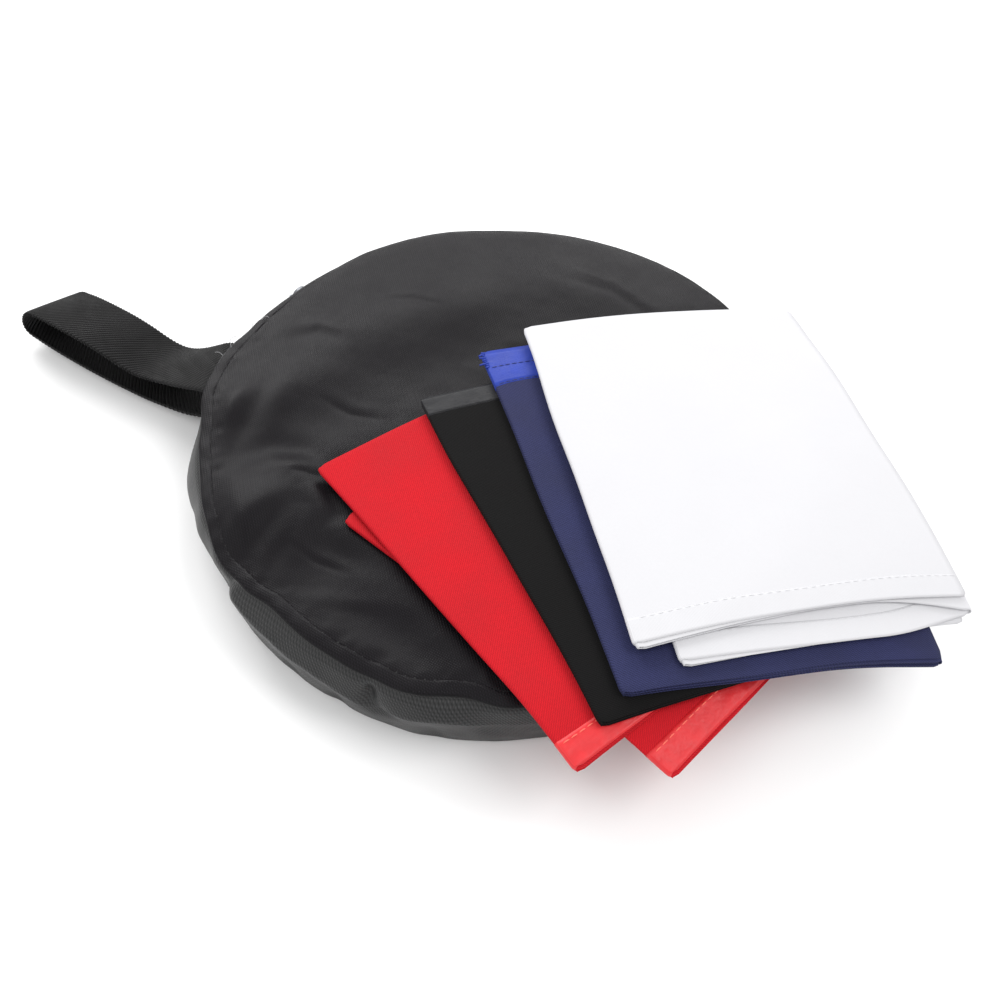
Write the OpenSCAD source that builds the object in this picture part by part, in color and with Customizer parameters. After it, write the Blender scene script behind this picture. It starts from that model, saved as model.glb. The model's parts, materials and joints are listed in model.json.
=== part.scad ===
// Round zip bag holding a twist-folded pop-up panel, with a webbing carry loop
// and four folded backdrop cloths fanned over its top.
// Millimetres, +Z up. The origin is the centre of the bag's underside, and the
// carry loop points along -X.

/* [Bag] */
// Diameter over the gusset
bag_d = 250; // [235:1:265]
// Height of the gusset, from the base to the top seam
bag_h = 31; // [30:0.5:33]
// How far the top panel swells above its rim
dome_rise = 2.5; // [1.5:0.1:2.9]
// Thickness of the coated bag fabric with its lining
fabric_t = 1; // [0.8:0.1:1.1]

/* [Zip] */
// Direction of the middle of the zip
zip_mid = 121; // [118:1:124]
// Half of the angle that the zip covers
zip_half = 53; // [50:1:55]
// Length of the slider's pull
pull_len = 20; // [14:1:22]

/* [Carry loop] */
// Width of the webbing
webbing_w = 30; // [25:1:34]
// Thickness of the webbing
webbing_t = 1.6; // [1.2:0.1:1.8]
// How far the loop stands out from the gusset
loop_reach = 106; // [90:1:112]
// Sideways place of the loop's centreline
loop_y = -31; // [-34:1:-28]

/* [Hoop] */
// Mean radius of the folded hoop's three turns
hoop_r = 112; // [110:0.5:113]
// Thickness of the spring wire
wire_d = 2.5; // [2:0.1:3]

/* [Backdrop cloths] */
// Width of a folded cloth
cloth_w = 116; // [110:1:118]
// Length of a folded cloth
cloth_l = 165; // [155:1:168]
// Thickness of one folded packet
packet_t = 3.3; // [2.6:0.1:3.4]
// Width of the hem tape
hem_w = 10; // [8:0.5:12]

/* [Hidden] */
$fn = 96;

gap = 0.3;                     // clearance between bodies that touch
bag_r = bag_d / 2;
wall_in = bag_r - fabric_t;
panel_r = bag_r - 1.6;         // where the top panel meets the seam binding
binding_r = 1.2;               // radius of the rolled seam allowance
side_seam = 247;               // where the two plain gusset strips are joined

// Zip: its ends, its height and the flap that it opens
zip_from = zip_mid - zip_half;
zip_to = zip_mid + zip_half;
chord = bag_r * cos(zip_half);
teeth_z = 27.5;
teeth_r = 0.7;
tape_t = 0.7;
gusset_rear_h = 23;
tab_angle = 5;
slider_at = zip_to - 6;
slider_r = bag_r + 1.4;
slider_t = 2.2;
slider_w = 9;
pin_d = 1.2;
pin_z = 25;
slider_drop = 1;
pin_r = slider_r + slider_t + 1.9;
eye_w = 4.2;
eye_d = 3;
eye_bore = 1.8;
lug_t = 1.2;

// Carry loop: side view of the webbing's centreline, as two cubic curves
loop_root_r = bag_r + 2;
loop_top = bag_h - 0.6;
loop_low = 12;
loop_tip_z = 8;
anchor_h = 4.2;
anchor_below = 4;
upper_curve = [[0, loop_top], [20, 14], [loop_reach + 4, 26], [loop_reach, loop_tip_z]];
lower_curve = [[loop_reach, loop_tip_z], [loop_reach - 1, 1.6], [70, -1], [0, loop_low]];
curve_steps = 16;

// Hoop: three turns that close on themselves
hoop_z = 16;
hoop_turns = 3;
hoop_spread_r = 5;
hoop_spread_z = 8.5;
hoop_rings = 150;
tube_sides = 8;
sleeve_in = 2.7;
sleeve_out = 3.6;
sleeve_slit = 20;
ferrule_r = 2.3;
ferrule_len = 8;
ferrule_gap = 0.4;

// Cloths: corner nearest the bag's middle, direction of the top edge, underside
stack_z = bag_h + fabric_t + 3.2;
packet_gap = 0.3;
hem_t = 0.5;
red_at = [-51.6, -57.8, stack_z];
red_turn = 66;
red_low_at = [-25.5, -77.8, stack_z];
red_low_turn = 79;
red_packet_t = packet_t * 0.78;
black_z = stack_z + 2 * red_packet_t + 2 * packet_gap;
black_at = [-33.3, -10.7, black_z];
black_turn = 52;
blue_z = black_z + packet_t + packet_gap;
blue_at = [-22.1, 25.2, blue_z];
blue_turn = 45;
white_z = blue_z + packet_t + packet_gap;
white_at = [-11.5, 38.6, white_z];
white_turn = 43;
white_packet_t = packet_t * 0.75;
edge_r = 1.2;                  // rounding of a folded edge seen from above

// ---- helpers -------------------------------------------------------------

// A band of rectangular section on an arc about the bag's axis
module arc_band(from, to, r_in, r_out, z_low, z_high) {
    rotate([0, 0, from])
        rotate_extrude(angle = to - from)
            translate([r_in, z_low])
                square([r_out - r_in, z_high - z_low]);
}

// A round bead on an arc about the bag's axis
module arc_bead(from, to, r, z, bead_r) {
    rotate([0, 0, from])
        rotate_extrude(angle = to - from)
            translate([r, z])
                circle(r = bead_r, $fn = 24);
}

// Height of the top panel's underside at radius r
function dome_z(r) = bag_h + gap / 2 + dome_rise * (1 - pow(r / panel_r, 2));

// The whole top panel, before the flap is cut from it
module dome() {
    steps = 12;
    radii = [for (i = [0:steps]) panel_r * i / steps];
    rotate_extrude()
        polygon(concat(
            [for (r = radii) [r, dome_z(r)]],
            [for (i = [steps:-1:0]) [radii[i], dome_z(radii[i]) + fabric_t]]
        ));
}

// Everything beyond the flap's fold line, moved back by back_off
module beyond_fold(back_off) {
    rotate([0, 0, zip_mid])
        translate([chord + back_off, -bag_d, -5])
            cube([bag_d, 2 * bag_d, 90]);
}

// A point on a cubic curve
function cubic(c, t) =
    pow(1 - t, 3) * c[0] + 3 * pow(1 - t, 2) * t * c[1]
    + 3 * (1 - t) * t * t * c[2] + pow(t, 3) * c[3];
function unit(v) = v / norm(v);
function side_of(path, i) =
    let (a = path[max(i - 1, 0)], b = path[min(i + 1, len(path) - 1)], d = unit(b - a))
    [-d[1], d[0]];

// Centre of the folded hoop's wire at turn angle a
function hoop_at(a) =
    let (phase = a / hoop_turns, r = hoop_r + hoop_spread_r * cos(phase))
    [r * cos(a), r * sin(a), hoop_z + hoop_spread_z * sin(phase)];
function hoop_ring(a, radii) =
    let (p = hoop_at(a))
    [for (k = [0:len(radii) - 1])
        let (b = tube_angle(k, len(radii)), w = radii[k] / cos(180 / tube_sides))
        p + [w * cos(b) * cos(a), w * cos(b) * sin(a), w * sin(b)]];

// Direction of a section's point: once round for a tube of tube_sides points,
// out and back again for a split sleeve, which stays open by sleeve_slit
function tube_angle(k, n) =
    n == tube_sides ? 360 * k / n
    : let (half = n / 2, step = (360 - sleeve_slit) / (half - 1))
      sleeve_slit / 2 + step * (k < half ? k : n - 1 - k);
function hoop_points(radii) =
    [for (i = [0:hoop_rings - 1])
        each hoop_ring(360 * hoop_turns * i / hoop_rings, radii)];
function hoop_faces(n) =
    [for (i = [0:hoop_rings - 1], k = [0:n - 1])
        let (j = (i + 1) % hoop_rings, m = (k + 1) % n)
        [i * n + k, i * n + m, j * n + m, j * n + k]];

// One folded packet: corner at the origin, top edge along the turned +X,
// length running toward the turned -Y
module packet(w, l, t) {
    linear_extrude(t)
        translate([edge_r, -l + edge_r])
            union() {
                translate([0, -edge_r]) square([w - 2 * edge_r, l]);
                translate([-edge_r, 0]) square([w, l - 2 * edge_r]);
                for (x = [0, w - 2 * edge_r], y = [0, l - 2 * edge_r])
                    translate([x, y]) circle(r = edge_r, $fn = 24);
            }
}
module laid(at, turn) {
    translate(at)
        rotate([0, 0, turn])
            children();
}

// ---- bag -----------------------------------------------------------------

module bottom_panel() {
    color("#2b2b2d")
        cylinder(r = bag_r - 2.6, h = fabric_t);
}

module gusset_front() {
    color("#38383a")
        arc_band(side_seam - 360, zip_from, wall_in, bag_r, fabric_t + 1.5, bag_h);
}

module gusset_side() {
    color("#38383a")
        arc_band(zip_to, side_seam, wall_in, bag_r, fabric_t + 1.5, bag_h);
}

module gusset_rear() {
    color("#38383a")
        arc_band(zip_from, zip_to, wall_in, bag_r, fabric_t + 1.5, gusset_rear_h);
}

module top_panel() {
    color("#3c3b3e")
        difference() {
            dome();
            beyond_fold(-gap);
        }
}

module top_seam_binding() {
    color("#404042")
        arc_bead(zip_to + 0.4, zip_from + 359.6, bag_r - 0.3, bag_h + binding_r, binding_r);
}

module bottom_seam_binding() {
    color("#404042")
        arc_bead(0, 360, bag_r - binding_r, binding_r, binding_r);
}

// ---- zip -----------------------------------------------------------------

module zip_tape_lower() {
    color("#242426")
        arc_band(zip_from, zip_to, wall_in, wall_in + tape_t,
                 gusset_rear_h, teeth_z - 2 * teeth_r - gap / 2);
}

module zip_teeth_lower() {
    color("#19191a")
        arc_bead(zip_from + 1, zip_to - 1, wall_in + tape_t,
                 teeth_z - teeth_r - gap / 2, teeth_r);
}

module zip_stops() {
    color("#b9bcc0")
        for (a = [zip_from + 1.6, zip_to - 1.6])
            arc_band(a - 0.5, a + 0.5, wall_in + tape_t + teeth_r + 0.05,
                     wall_in + tape_t + teeth_r + 0.7, teeth_z - 3, teeth_z - 1.4);
}

// Folded fabric tabs sewn over the ends of the zip
module zip_end_tabs() {
    color("#2f2f31")
        for (a = [zip_from - tab_angle, zip_to])
            arc_band(a, a + tab_angle, bag_r + 0.05, bag_r + 0.9, 20, bag_h - 1);
}

module zip_tape_upper() {
    color("#242426")
        arc_band(zip_from + 0.7, zip_to - 0.7, wall_in, wall_in + tape_t,
                 teeth_z + 2 * teeth_r + gap / 2, bag_h - 0.1);
}

module zip_teeth_upper() {
    color("#19191a")
        arc_bead(zip_from + 1.4, zip_to - 1.4, wall_in + tape_t,
                 teeth_z + teeth_r + gap / 2, teeth_r);
}

// Slider seen face on: a shield with a narrow foot and two lugs for the pin
module slider_face() {
    circle(r = slider_w / 2, $fn = 48);
    translate([-slider_w * 0.32, -slider_w * 0.6])
        square([slider_w * 0.64, slider_w * 0.6]);
}

module zip_slider() {
    lug_from = eye_w / 2 + gap;
    color("#8d9095")
        rotate([0, 0, slider_at]) {
            translate([slider_r, 0, teeth_z - slider_drop])
                rotate([90, 0, 90])
                    linear_extrude(slider_t)
                        slider_face();
            for (y = [lug_from, -lug_from - lug_t])
                translate([slider_r + slider_t - 0.2, y, pin_z - 1.5])
                    cube([pin_r - slider_r - slider_t + 1.4, lug_t, 3]);
            translate([pin_r, lug_from + lug_t / 2, pin_z])
                rotate([90, 0, 0])
                    cylinder(d = pin_d, h = 2 * lug_from + lug_t, $fn = 32);
        }
}

module zip_pull() {
    grip_w = 5.5;
    grip_t = 1.1;
    neck = 2.4;
    color("#9b9ea3")
        rotate([0, 0, slider_at])
            translate([pin_r, 0, pin_z])
                difference() {
                    union() {
                        rotate([90, 0, 0])
                            cylinder(d = eye_d, h = eye_w, center = true, $fn = 32);
                        translate([-grip_t / 2, -eye_w / 2, -neck - 1])
                            cube([grip_t, eye_w, neck]);
                        translate([-grip_t / 2, -grip_w / 2, -pull_len])
                            cube([grip_t, grip_w, pull_len - neck - 0.8]);
                        translate([-grip_t / 2, 0, -pull_len])
                            rotate([0, 90, 0])
                                cylinder(d = grip_w, h = grip_t, $fn = 32);
                    }
                    rotate([90, 0, 0])
                        cylinder(d = eye_bore, h = eye_w + 1, center = true, $fn = 32);
                    translate([-grip_t, 0, -pull_len])
                        rotate([0, 90, 0])
                            cylinder(d = 2, h = 2 * grip_t, $fn = 32);
                }
}

// ---- flap ----------------------------------------------------------------

module top_flap() {
    color("#3c3b3e")
        intersection() {
            dome();
            beyond_fold(gap);
        }
}

module flap_seam_binding() {
    color("#404042")
        arc_bead(zip_from + 0.6, zip_to - 0.6, bag_r - 0.3, bag_h + binding_r, binding_r);
}

// ---- carry loop ----------------------------------------------------------

module handle_webbing() {
    upper = [for (i = [0:curve_steps]) cubic(upper_curve, i / curve_steps)];
    lower = [for (i = [1:curve_steps]) cubic(lower_curve, i / curve_steps)];
    root = 12;
    path = concat([[-root, loop_top]], upper, lower, [[-root, loop_low]]);
    last = len(path) - 1;
    half = webbing_t / 2;
    color("#2e2d2f")
        difference() {
            translate([-loop_root_r, loop_y + webbing_w / 2, 0])
                rotate([90, 0, 0])
                    linear_extrude(webbing_w)
                        mirror([1, 0])
                            polygon(concat(
                                [for (i = [0:last]) path[i] + half * side_of(path, i)],
                                [for (i = [last:-1:0]) path[i] - half * side_of(path, i)]
                            ));
            translate([0, 0, -5])
                cylinder(r = loop_root_r - 0.2, h = bag_h + 15);
        }
}

// The webbing's two ends, folded flat and sewn to the gusset
module handle_anchors() {
    a = atan2(loop_y, -sqrt(pow(bag_r, 2) - pow(loop_y, 2)));
    span = asin(webbing_w / 2 / bag_r);
    color("#262627")
        for (z = [loop_top, loop_low])
            arc_band(a - span, a + span, bag_r + 0.05, bag_r + 1.4,
                     z - anchor_below, z - anchor_below + anchor_h);
}

// ---- what the bag holds --------------------------------------------------

module spring_hoop() {
    color("#a8abb0")
        polyhedron(
            points = hoop_points([for (k = [1:tube_sides]) wire_d / 2]),
            faces = hoop_faces(tube_sides),
            convexity = 8
        );
}

// Fabric channel around the wire, split along its outer side
module hoop_sleeve() {
    color("#1d1d1f")
        polyhedron(
            points = hoop_points([
                for (k = [0:2 * tube_sides - 1]) k < tube_sides ? sleeve_out : sleeve_in
            ]),
            faces = hoop_faces(2 * tube_sides),
            convexity = 8
        );
}

// Crimped tube over the joint between the wire's ends
module hoop_ferrule() {
    p = hoop_at(0);
    d = unit(hoop_at(1) - hoop_at(-1));
    color("#c8cacd")
        translate(p)
            rotate([0, acos(d[2]), atan2(d[1], d[0])])
                difference() {
                    cylinder(r = ferrule_r, h = ferrule_len, center = true, $fn = 32);
                    cylinder(r = wire_d / 2 + ferrule_gap, h = ferrule_len + 1, center = true, $fn = 32);
                }
}

// The panel's fabric, folded into a pad inside the hoop's turns
module folded_panel() {
    pad_r = hoop_r - hoop_spread_r - sleeve_out - 2.4;
    round_r = 6;
    low = fabric_t + 1;
    high = bag_h - 1;
    color("#e9e9ee")
        rotate_extrude()
            union() {
                translate([0, low]) square([pad_r - round_r, high - low]);
                translate([0, low + round_r]) square([pad_r, high - low - 2 * round_r]);
                for (z = [low + round_r, high - round_r])
                    translate([pad_r - round_r, z]) circle(r = round_r, $fn = 48);
            }
}

// ---- backdrop cloths -----------------------------------------------------

module red_backdrop() {
    color("#dd2733") {
        laid(red_low_at, red_low_turn)
            packet(cloth_w - 12, cloth_l - 10 - hem_w, red_packet_t);
        laid(red_at + [0, 0, red_packet_t], red_turn)
            packet(cloth_w, cloth_l - hem_w, red_packet_t);
    }
}

// Satin tape along the far edges of both packets
module red_hem_tape() {
    color("#f2413f") {
        laid(red_low_at, red_low_turn)
            translate([0, hem_w + 10 - cloth_l - 0.05, 0])
                packet(cloth_w - 12, hem_w, red_packet_t - 0.1);
        laid(red_at + [0, 0, red_packet_t], red_turn)
            translate([0, hem_w - cloth_l - 0.05, 0])
                packet(cloth_w, hem_w, red_packet_t);
    }
}

// Plain packet with the hem tape lying across its near edge
module banded_backdrop() {
    difference() {
        packet(cloth_w, cloth_l, packet_t);
        translate([-1, -1.6 * hem_w, packet_t - hem_t])
            cube([cloth_w * 0.55, 1.6 * hem_w + 1, 1]);
    }
}

module near_hem(bands) {
    for (i = [0:bands - 1])
        translate([0.4, -hem_w * 0.75 * (i + 1) - 0.1 * i, packet_t - hem_t + 0.05])
            cube([cloth_w * 0.55 - 1.6, hem_w * 0.75, hem_t - 0.05]);
}

module black_backdrop() {
    color("#2f2e2f")
        laid(black_at, black_turn)
            banded_backdrop();
}

module black_hem_tape() {
    color("#36363a")
        laid(black_at, black_turn)
            near_hem(1);
}

module blue_backdrop() {
    color("#343a63")
        laid(blue_at, blue_turn)
            banded_backdrop();
}

module blue_hem_tape() {
    color("#4a60c0")
        laid(blue_at, blue_turn)
            near_hem(2);
}

module white_backdrop() {
    color("#fafafd")
        laid(white_at, white_turn) {
            translate([19, -6, 0])
                packet(cloth_w - 19, cloth_l - 7, white_packet_t);
            translate([0, 0, white_packet_t])
                packet(cloth_w, cloth_l - 5 - hem_w, white_packet_t);
        }
}

module white_hem_tape() {
    color("#f4f4f8")
        laid(white_at, white_turn)
            translate([0, 5 + hem_w - cloth_l - 0.05, white_packet_t])
                packet(cloth_w, hem_w, white_packet_t);
}

bottom_panel();
gusset_front();
gusset_side();
gusset_rear();
top_panel();
top_seam_binding();
bottom_seam_binding();
zip_tape_lower();
zip_teeth_lower();
zip_stops();
zip_end_tabs();
handle_anchors();
spring_hoop();
hoop_sleeve();
hoop_ferrule();
folded_panel();
top_flap();
flap_seam_binding();
zip_tape_upper();
zip_teeth_upper();
zip_slider();
zip_pull();
handle_webbing();
red_backdrop();
red_hem_tape();
black_backdrop();
black_hem_tape();
blue_backdrop();
blue_hem_tape();
white_backdrop();
white_hem_tape();
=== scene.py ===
import json
import math

import bmesh
import bpy
import numpy as np
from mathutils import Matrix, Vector, noise


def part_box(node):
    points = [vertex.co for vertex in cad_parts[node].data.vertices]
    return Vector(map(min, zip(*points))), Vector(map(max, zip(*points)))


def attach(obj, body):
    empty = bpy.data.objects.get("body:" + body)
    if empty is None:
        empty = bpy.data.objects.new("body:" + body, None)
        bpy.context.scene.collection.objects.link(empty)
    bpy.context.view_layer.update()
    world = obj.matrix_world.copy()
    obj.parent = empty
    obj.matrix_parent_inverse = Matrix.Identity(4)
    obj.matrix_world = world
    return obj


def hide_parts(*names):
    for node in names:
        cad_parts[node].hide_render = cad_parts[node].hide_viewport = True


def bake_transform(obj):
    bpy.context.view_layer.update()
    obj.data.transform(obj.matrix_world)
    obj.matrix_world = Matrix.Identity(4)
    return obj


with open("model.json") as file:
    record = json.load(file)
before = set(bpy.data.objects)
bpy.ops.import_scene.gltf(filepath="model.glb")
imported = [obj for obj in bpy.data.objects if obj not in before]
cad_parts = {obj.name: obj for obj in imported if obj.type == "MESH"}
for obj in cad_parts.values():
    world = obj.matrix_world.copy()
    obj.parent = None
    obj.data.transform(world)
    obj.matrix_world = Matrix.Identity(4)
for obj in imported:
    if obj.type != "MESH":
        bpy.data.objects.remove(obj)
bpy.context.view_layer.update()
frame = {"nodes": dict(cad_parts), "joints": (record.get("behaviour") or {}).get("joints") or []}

MM = 0.001
TAU = 2 * math.pi
UP = np.array((0, 0, 1.0))

# ---- places taken from the frame -------------------------------------------

bag_low, bag_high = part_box("bottom_seam_binding")
BAG_R = (bag_high.x - bag_low.x) / 2
RIM_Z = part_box("gusset_front")[1].z
GUSSET_REAR_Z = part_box("gusset_rear")[1].z
TAPE_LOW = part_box("zip_tape_lower")
TAPE_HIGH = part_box("zip_tape_upper")
DOME_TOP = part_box("top_panel")[1].z
JOINT = {j["name"]: j for j in frame["joints"]}

# The flap's fold line: a point on it, and the direction from it into the flap
FOLD_POINT = Vector(JOINT["flap_fold"]["pos_m"])
FOLD_AXIS = Vector(JOINT["flap_fold"]["axis"])
INTO_FLAP = Vector((-FOLD_AXIS.y, FOLD_AXIS.x, 0)).normalized()
FOLD_DEPTH = FOLD_POINT.dot(INTO_FLAP)
ZIP_MID = math.degrees(math.atan2(INTO_FLAP.y, INTO_FLAP.x))
ZIP_HALF = math.degrees(math.acos(FOLD_DEPTH / BAG_R))
ZIP_FROM = ZIP_MID - ZIP_HALF
ZIP_TO = ZIP_MID + ZIP_HALF
SIDE_SEAM = 247.0

# ---- camera, light and floor -------------------------------------------------

CAM_TURN = 31.0
CAM_RISE = 53.0
CAM_DISTANCE = 2.0 * 2 * BAG_R
CAM_LENS = 41.4
CAM_AIM = (6.7 * MM, -11.1 * MM, 0)
WORLD_LIGHT = 0.90
# Name, turn and rise of its beam in degrees, distance and size in metres, power in watts
LIGHTS = [
    ("key", 112, 52, 1.6, 0.9, 7.5),
    ("back", 200, 34, 1.6, 0.8, 7.5),
    ("left", 243, 34, 1.6, 0.8, 11),
    ("front", 335, 45, 1.8, 0.9, 4),
]


def point_at(aim, name, data, turn, rise, distance):
    """Puts a camera or a light at a distance from aim, looking at it."""
    a, e = math.radians(turn), math.radians(rise)
    direction = Vector((-math.sin(a) * math.cos(e), math.cos(a) * math.cos(e), -math.sin(e)))
    obj = bpy.data.objects.new(name, data)
    bpy.context.scene.collection.objects.link(obj)
    obj.location = Vector(aim) - direction * distance
    obj.rotation_euler = direction.to_track_quat("-Z", "Y").to_euler()
    return obj


def add_camera():
    data = bpy.data.cameras.new("camera")
    data.lens = CAM_LENS
    data.sensor_width = 36
    data.clip_start = 0.01
    bpy.context.scene.camera = point_at(CAM_AIM, "camera", data, CAM_TURN, CAM_RISE, CAM_DISTANCE)


def add_area_light(name, turn, rise, distance, size, power):
    data = bpy.data.lights.new(name, "AREA")
    data.shape = "DISK"
    data.size = size
    data.energy = power
    point_at((0, 0, 0), name, data, turn, rise, distance)


def add_world(strength):
    world = bpy.data.worlds.new("studio")
    world.use_nodes = True
    background = world.node_tree.nodes["Background"]
    background.inputs["Color"].default_value = (1, 1, 1, 1)
    background.inputs["Strength"].default_value = strength
    bpy.context.scene.world = world


def add_floor():
    half = 4.0
    mesh = bpy.data.meshes.new("floor")
    mesh.from_pydata(
        [(-half, -half, 0), (half, -half, 0), (half, half, 0), (-half, half, 0)],
        [], [(0, 1, 2, 3)],
    )
    floor = bpy.data.objects.new("floor", mesh)
    bpy.context.scene.collection.objects.link(floor)
    floor.location.z = -0.1 * MM
    mat = bpy.data.materials.new("floor_paper")
    mat.use_nodes = True
    shader = mat.node_tree.nodes["Principled BSDF"]
    shader.inputs["Base Color"].default_value = (0.95, 0.95, 0.95, 1)
    shader.inputs["Roughness"].default_value = 0.9
    shader.inputs["Specular IOR Level"].default_value = 0.1
    mesh.materials.append(mat)


bpy.context.scene.view_settings.view_transform = "Standard"
add_camera()
add_world(WORLD_LIGHT)
for light in LIGHTS:
    add_area_light(*light)
add_floor()

# ---- materials ---------------------------------------------------------------


class Nodes:
    """Short ways to add shader nodes to one material."""

    def __init__(self, name, color, rough, **sockets):
        self.mat = bpy.data.materials.new(name)
        self.mat.use_nodes = True
        self.tree = self.mat.node_tree
        self.shader = self.tree.nodes["Principled BSDF"]
        self.shader.inputs["Base Color"].default_value = (*color, 1)
        self.shader.inputs["Roughness"].default_value = rough
        for socket, value in sockets.items():
            self.shader.inputs[socket.replace("_", " ")].default_value = value

    def add(self, kind, **settings):
        node = self.tree.nodes.new(kind)
        for key, value in settings.items():
            setattr(node, key, value)
        return node

    def link(self, source, target):
        self.tree.links.new(source, target)

    def math(self, operation, a, b=None):
        node = self.add("ShaderNodeMath", operation=operation)
        for i, value in enumerate((a, b)):
            if value is None:
                continue
            if isinstance(value, (int, float)):
                node.inputs[i].default_value = value
            else:
                self.link(value, node.inputs[i])
        return node.outputs[0]

    def flat(self):
        """Where a point lies on the flat cloth, in metres, as (along, across)."""
        attribute = self.add("ShaderNodeAttribute", attribute_name="flat_m")
        split = self.add("ShaderNodeSeparateXYZ")
        self.link(attribute.outputs["Vector"], split.inputs[0])
        return attribute.outputs["Vector"], split.outputs[0], split.outputs[1]

    def place(self):
        return self.add("ShaderNodeTexCoord").outputs["Object"]

    def noise(self, vector, scale, detail=3.0, rough=0.55):
        node = self.add("ShaderNodeTexNoise")
        node.inputs["Scale"].default_value = scale
        node.inputs["Detail"].default_value = detail
        node.inputs["Roughness"].default_value = rough
        self.link(vector, node.inputs["Vector"])
        return node.outputs["Fac"]

    def wave(self, value, pitch):
        """0 to 1 along value, once every pitch metres."""
        turned = self.math("MULTIPLY", value, TAU / pitch)
        return self.math("ADD", self.math("MULTIPLY", self.math("SINE", turned), 0.5), 0.5)

    def spread(self, noise_value, low, high):
        """low to high over the part of its range that a noise mostly fills."""
        return self.ramp(noise_value, low, high, (0.3, 0.7))

    def ramp(self, value, low, high, at=(0.0, 1.0)):
        node = self.add("ShaderNodeMapRange")
        node.inputs["From Min"].default_value = at[0]
        node.inputs["From Max"].default_value = at[1]
        node.inputs["To Min"].default_value = low
        node.inputs["To Max"].default_value = high
        self.link(value, node.inputs["Value"])
        return node.outputs["Result"]

    def tint(self, color, amount):
        """color times amount, into the base colour."""
        node = self.add("ShaderNodeVectorMath", operation="SCALE")
        node.inputs[0].default_value = color
        self.link(amount, node.inputs["Scale"])
        self.link(node.outputs[0], self.shader.inputs["Base Color"])

    def bump(self, height, distance, under=None):
        node = self.add("ShaderNodeBump")
        node.inputs["Strength"].default_value = 1.0
        node.inputs["Distance"].default_value = distance
        self.link(height, node.inputs["Height"])
        if under is not None:
            self.link(under, node.inputs["Normal"])
        return node.outputs["Normal"]

    def finish(self, normal, rough=None):
        self.link(normal, self.shader.inputs["Normal"])
        if rough is not None:
            self.link(rough, self.shader.inputs["Roughness"])
        return self.mat


def weave_height(n, along, across, pitch, twill):
    """Crossing threads with a diagonal twill line through them."""
    threads = n.math("MULTIPLY", n.wave(along, pitch), n.wave(across, pitch))
    diagonal = n.wave(n.math("ADD", along, across), pitch * 1.6)
    return n.math("ADD", n.math("MULTIPLY", threads, 1 - twill), n.math("MULTIPLY", diagonal, twill))


def cloth_material(name, color, pitch, rough, sheen, twill=0.5, painted_weave_shade=0.12,
                   patch=0.1, depth=0.05 * MM, crumple=0.25 * MM, specular=0.3, grain=0.06):
    n = Nodes(name, color, rough, Sheen_Weight=sheen, Sheen_Roughness=0.45,
              Specular_IOR_Level=specular)
    vector, along, across = n.flat()
    height = weave_height(n, along, across, pitch, twill)
    patches = n.noise(vector, 35)
    fine = n.noise(vector, 900, 2)
    # The weave's height also sets the colour: painted shade in the hollows between threads and painted
    # highlight on their crests.
    amount = n.math("MULTIPLY", n.ramp(height, 1 - painted_weave_shade, 1 + painted_weave_shade),
                    n.spread(patches, 1 - patch, 1 + patch))
    amount = n.math("MULTIPLY", amount, n.spread(fine, 1 - grain, 1 + grain))
    n.tint(color, amount)
    soft = n.bump(n.noise(vector, 60, 4), crumple)
    return n.finish(n.bump(height, depth, soft),
                    n.spread(patches, rough - 0.06, rough + 0.06))


def satin_material(name, color, sheen=0.1, specular=0.35, ripple_depth=0.35 * MM, mottle=0.1):
    """Smooth tape with fine threads along it and a soft long highlight."""
    n = Nodes(name, color, 0.34, Sheen_Weight=sheen, Sheen_Roughness=0.3,
              Specular_IOR_Level=specular)
    vector, along, across = n.flat()
    threads = n.wave(along, 0.45 * MM)
    ripples = n.noise(vector, 120, 3)
    # The threads also set the colour a little: painted shade between them and painted highlight along them.
    n.tint(color, n.math("MULTIPLY", n.ramp(threads, 0.95, 1.05),
                         n.spread(ripples, 1 - mottle, 1 + mottle)))
    soft = n.bump(ripples, ripple_depth)
    return n.finish(n.bump(threads, 0.03 * MM, soft),
                    n.spread(ripples, 0.3, 0.44))


def metal_material(name, color, rough):
    n = Nodes(name, color, rough, Metallic=1.0)
    vector = n.place()
    scratches = n.noise(vector, 2500, 4, 0.7)
    n.tint(color, n.spread(scratches, 0.85, 1.1))
    return n.finish(n.bump(scratches, 0.03 * MM), n.ramp(scratches, rough - 0.1, rough + 0.12))


def thread_material(name, color, rough=0.6):
    n = Nodes(name, color, rough, Sheen_Weight=0.2, Sheen_Roughness=0.4)
    twist = n.noise(n.place(), 3500, 2)
    n.tint(color, n.spread(twist, 0.75, 1.2))
    return n.finish(n.bump(twist, 0.05 * MM))


def coil_material(name, color):
    n = Nodes(name, color, 0.32, Specular_IOR_Level=0.5)
    marks = n.noise(n.place(), 1500, 3)
    n.tint(color, n.spread(marks, 0.8, 1.2))
    return n.finish(n.bump(marks, 0.02 * MM), n.ramp(marks, 0.26, 0.42))


RIB_PITCH = 1.5 * MM
RIB_TURN = math.radians(38)


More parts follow.
